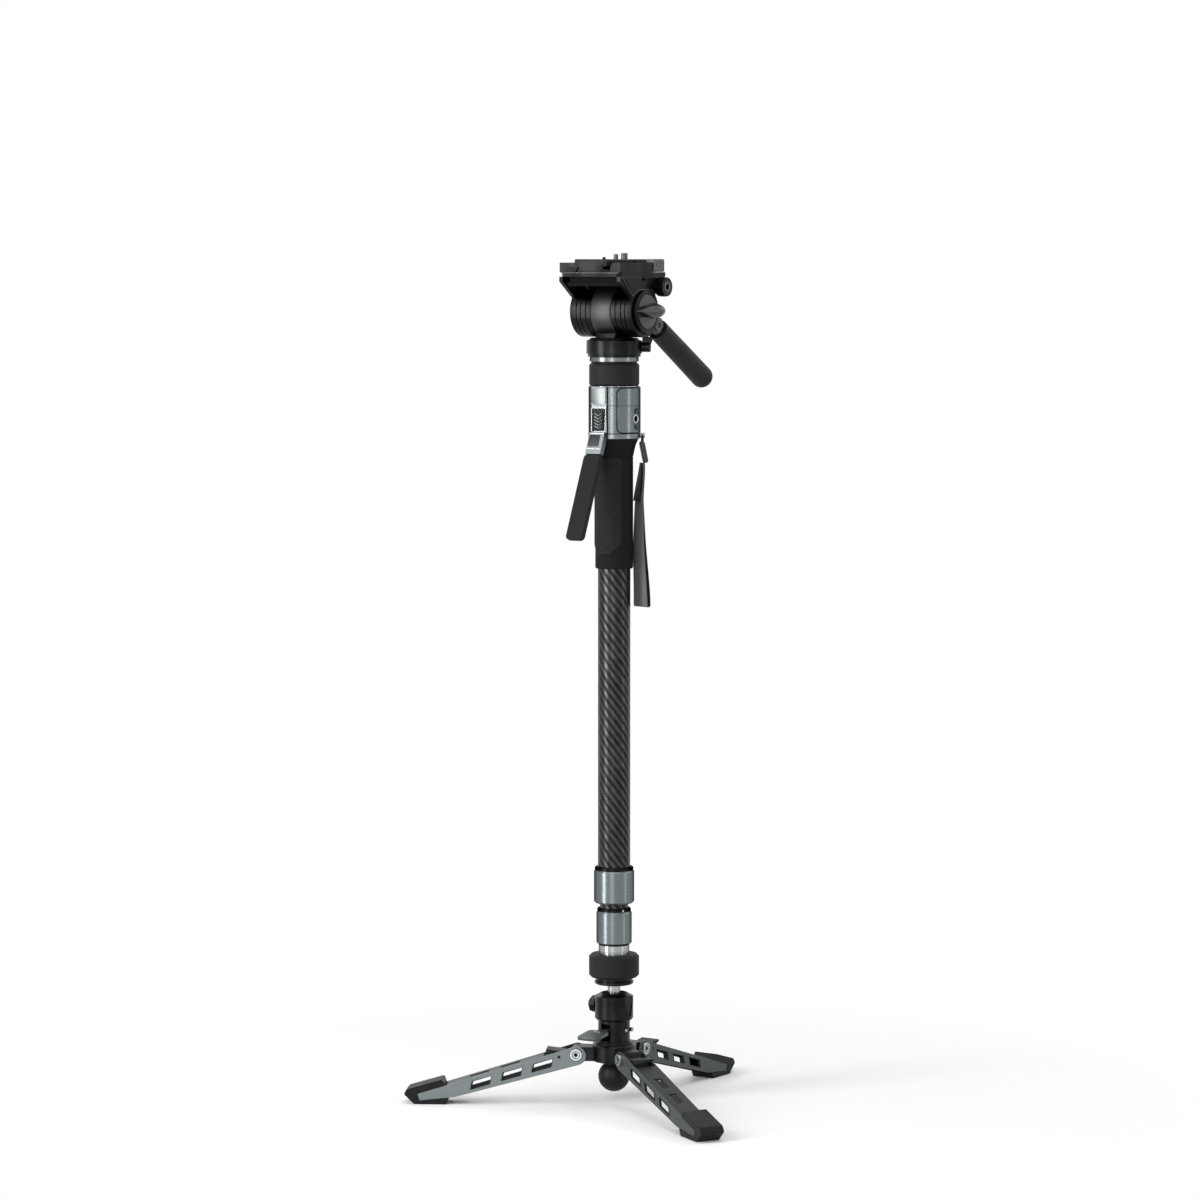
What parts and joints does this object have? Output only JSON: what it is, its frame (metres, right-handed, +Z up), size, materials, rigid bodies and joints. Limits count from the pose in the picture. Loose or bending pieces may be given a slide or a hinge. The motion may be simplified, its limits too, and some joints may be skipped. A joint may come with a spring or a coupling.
{
  "type": "camera monopod",
  "caption": "Carbon video monopod: folding feet, lockable ball joint with pedal, telescoping tubes, squeeze-lever grip, wrist strap and fluid head with pan handle.",
  "frame": {"origin": "on the column's axis, on the floor that the three feet stand on", "axes": "+Z up the column; -Y is the front, with the squeeze lever and the pedal; +X is the right side with the clamp knobs"},
  "size_m": [0.3726, 0.3227, 0.8418],
  "materials": {
    "black_anodised": "semi-gloss black anodising",
    "leg_metal": "satin blue-grey paint",
    "satin_alloy": "satin bright alloy",
    "steel": "turned steel",
    "carbon_tube": "clear-coated carbon fibre twill",
    "rubber": "matte black rubber",
    "foam": "matte black foam rubber",
    "moulded_black": "moulded black plastic",
    "webbing": "woven black nylon"
  },
  "bodies": {
    "base": {"base_hub": "black_anodised", "ball_foot": "rubber", "leg_pivot_screws": "steel", "pedal_axle": "steel", "ball_housing": "black_anodised", "housing_cap": "black_anodised"},
    "leg_1": {"leg_1": "leg_metal", "foot_1": "rubber"},
    "leg_2": {"leg_2": "leg_metal", "foot_2": "rubber"},
    "leg_3": {"leg_3": "leg_metal", "foot_3": "rubber"},
    "latch_1": {"latch_1": "moulded_black"},
    "latch_2": {"latch_2": "moulded_black"},
    "latch_3": {"latch_3": "moulded_black"},
    "pedal": {"pedal": "leg_metal"},
    "brake_plunger": {"brake_plunger": "moulded_black"},
    "ball_lock_knob": {"ball_lock_knob": "black_anodised"},
    "ball_seat": {"ball_seat": "moulded_black"},
    "ball": {"ball_stem": "steel", "stem_flange": "steel"},
    "base_lock_ring": {"base_lock_ring": "rubber"},
    "lower_section": {"end_fitting": "satin_alloy", "lower_tube": "carbon_tube"},
    "mid_section": {"mid_tube": "carbon_tube", "mid_collar": "satin_alloy", "mid_clutch": "moulded_black"},
    "upper_section": {"main_tube": "carbon_tube", "main_collar": "satin_alloy", "main_clutch": "moulded_black", "grip": "foam", "grip_collar": "moulded_black", "strap_ring": "moulded_black", "housing_lower": "satin_alloy", "housing_upper": "satin_alloy", "head_mount": "black_anodised", "strap_cord": "webbing", "strap_buckle": "moulded_black", "strap_webbing": "webbing"},
    "squeeze_lever": {"lever_root": "satin_alloy", "lever_paddle": "moulded_black"},
    "release_rod": {"release_rod": "satin_alloy"},
    "thumb_button": {"thumb_button": "moulded_black"},
    "head_lock_ring": {"head_lock_ring": "rubber"},
    "pan": {"pan_base": "black_anodised", "tilt_housing": "black_anodised"},
    "pan_lock_knob": {"pan_lock_knob": "black_anodised"},
    "tilt": {"tilt_axle": "steel", "right_drum": "black_anodised", "left_drum": "black_anodised", "tilt_yoke": "black_anodised"},
    "tilt_knob": {"tilt_knob": "satin_alloy"},
    "camera_plate": {"camera_plate": "black_anodised"},
    "camera_screw": {"camera_screw": "steel"},
    "locating_pin": {"locating_pin": "steel"},
    "plate_clamp_knob": {"plate_clamp_knob": "black_anodised"},
    "clamp_jaw": {"clamp_jaw": "moulded_black"},
    "plate_release": {"plate_release": "satin_alloy"},
    "handle": {"handle_socket": "satin_alloy", "handle_grip": "rubber"}
  },
  "joints": [
    {"name": "leg_1_fold", "type": "hinge", "parent": "base", "child": "leg_1", "pos_m": [0, 0.037, 0.0515], "axis": [-1, 0, 0], "range_deg": [-104, 0]},
    {"name": "leg_2_fold", "type": "hinge", "parent": "base", "child": "leg_2", "pos_m": [-0.03204, -0.0185, 0.0515], "axis": [0.5, -0.866, 0], "range_deg": [-104, 0]},
    {"name": "leg_3_fold", "type": "hinge", "parent": "base", "child": "leg_3", "pos_m": [0.03204, -0.0185, 0.0515], "axis": [0.5, 0.866, 0], "range_deg": [-104, 0]},
    {"name": "latch_1_press", "type": "hinge", "parent": "leg_1", "child": "latch_1", "pos_m": [0, 0.05388, 0.04863], "axis": [-1, 0, 0], "range_deg": [0, 15], "stiffness_Nm_per_rad": 0.05, "springref_deg": -11.46},
    {"name": "latch_2_press", "type": "hinge", "parent": "leg_2", "child": "latch_2", "pos_m": [-0.04666, -0.02694, 0.04863], "axis": [0.5, -0.866, 0], "range_deg": [0, 15], "stiffness_Nm_per_rad": 0.05, "springref_deg": -11.46},
    {"name": "latch_3_press", "type": "hinge", "parent": "leg_3", "child": "latch_3", "pos_m": [0.04666, -0.02694, 0.04863], "axis": [0.5, 0.866, 0], "range_deg": [0, 15], "stiffness_Nm_per_rad": 0.05, "springref_deg": -11.46},
    {"name": "pedal_press", "type": "hinge", "parent": "base", "child": "pedal", "pos_m": [0, 0.0094, 0.075], "axis": [1, 0, 0], "range_deg": [0, 10], "stiffness_Nm_per_rad": 0.6, "springref_deg": -8.59},
    {"name": "brake_plunger_slide", "type": "slide", "parent": "base", "child": "brake_plunger", "axis": [0, 0, 1], "range_m": [-0.0018, 0]},
    {"name": "ball_lock_turn", "type": "hinge", "parent": "base", "child": "ball_lock_knob", "pos_m": [-0.0193, 0, 0.0985], "axis": [-1, 0, 0], "range_deg": [0, 60]},
    {"name": "lean_direction", "type": "hinge", "parent": "base", "child": "ball_seat", "pos_m": [0, 0, 0.097], "axis": [0, 0, 1], "continuous": true},
    {"name": "lean", "type": "hinge", "parent": "ball_seat", "child": "ball", "pos_m": [0, 0, 0.097], "axis": [0, 1, 0], "range_deg": [0, 20]},
    {"name": "base_lock_turn", "type": "hinge", "parent": "ball", "child": "base_lock_ring", "pos_m": [0, 0, 0.14], "axis": [0, 0, 1], "range_deg": [0, 30]},
    {"name": "column_turn", "type": "hinge", "parent": "ball", "child": "lower_section", "pos_m": [0, 0, 0.15], "axis": [0, 0, 1], "continuous": true},
    {"name": "mid_extend", "type": "slide", "parent": "lower_section", "child": "mid_section", "axis": [0, 0, 1], "range_m": [0, 0.36]},
    {"name": "main_extend", "type": "slide", "parent": "mid_section", "child": "upper_section", "axis": [0, 0, 1], "range_m": [0, 0.34]},
    {"name": "lever_squeeze", "type": "hinge", "parent": "upper_section", "child": "squeeze_lever", "pos_m": [0, -0.014, 0.66345], "axis": [1, 0, 0], "range_deg": [0, 14], "stiffness_Nm_per_rad": 2, "springref_deg": -6.88},
    {"name": "release_rod_slide", "type": "slide", "parent": "upper_section", "child": "release_rod", "axis": [0, 0, 1], "range_m": [-0.0032, 0]},
    {"name": "thumb_press", "type": "slide", "parent": "upper_section", "child": "thumb_button", "axis": [0, 1, 0], "range_m": [0, 0.002], "stiffness_N_per_m": 800, "springref_m": -0.001},
    {"name": "head_lock_turn", "type": "hinge", "parent": "upper_section", "child": "head_lock_ring", "pos_m": [0, 0, 0.7233], "axis": [0, 0, 1], "range_deg": [0, 30]},
    {"name": "pan_turn", "type": "hinge", "parent": "upper_section", "child": "pan", "pos_m": [0, 0, 0.75], "axis": [0, 0, 1], "continuous": true},
    {"name": "pan_lock_turn", "type": "hinge", "parent": "pan", "child": "pan_lock_knob", "pos_m": [0.02474, 0.01154, 0.7503], "axis": [0.9063, 0.4226, 0], "range_deg": [0, 90]},
    {"name": "camera_tilt", "type": "hinge", "parent": "pan", "child": "tilt", "pos_m": [0, 0, 0.7848], "axis": [-1, 0, 0], "range_deg": [-70, 15]},
    {"name": "tilt_lock_turn", "type": "hinge", "parent": "tilt", "child": "tilt_knob", "pos_m": [0.036, 0, 0.7848], "axis": [1, 0, 0], "range_deg": [0, 90]},
    {"name": "plate_slide", "type": "slide", "parent": "tilt", "child": "camera_plate", "axis": [0, 1, 0], "range_m": [-0.02, 0.02]},
    {"name": "camera_screw_turn", "type": "hinge", "parent": "camera_plate", "child": "camera_screw", "pos_m": [0, 0.018, 0.83], "axis": [0, 0, 1], "continuous": true},
    {"name": "pin_press", "type": "slide", "parent": "camera_plate", "child": "locating_pin", "axis": [0, 0, -1], "range_m": [0, 0.003], "stiffness_N_per_m": 300, "springref_m": -0.001},
    {"name": "plate_clamp_turn", "type": "hinge", "parent": "tilt", "child": "plate_clamp_knob", "pos_m": [0.0358, 0.026, 0.8088], "axis": [1, 0, 0], "range_deg": [0, 180]},
    {"name": "clamp_jaw_slide", "type": "slide", "parent": "tilt", "child": "clamp_jaw", "axis": [1, 0, 0], "range_m": [0, 0.0016]},
    {"name": "plate_release_press", "type": "slide", "parent": "tilt", "child": "plate_release", "axis": [-1, 0, 0], "range_m": [0, 0.0025], "stiffness_N_per_m": 600, "springref_m": -0.001},
    {"name": "handle_angle", "type": "hinge", "parent": "tilt", "child": "handle", "pos_m": [0.026, 0.03, 0.7718], "axis": [-1, 0, 0], "range_deg": [-60, 20]}
  ],
  "couplings": [
    {"joint": "brake_plunger_slide", "follows": "pedal_press", "m_per_rad": -0.0094},
    {"joint": "release_rod_slide", "follows": "lever_squeeze", "m_per_rad": -0.012},
    {"joint": "clamp_jaw_slide", "follows": "plate_clamp_turn", "m_per_rad": 0.000477}
  ]
}
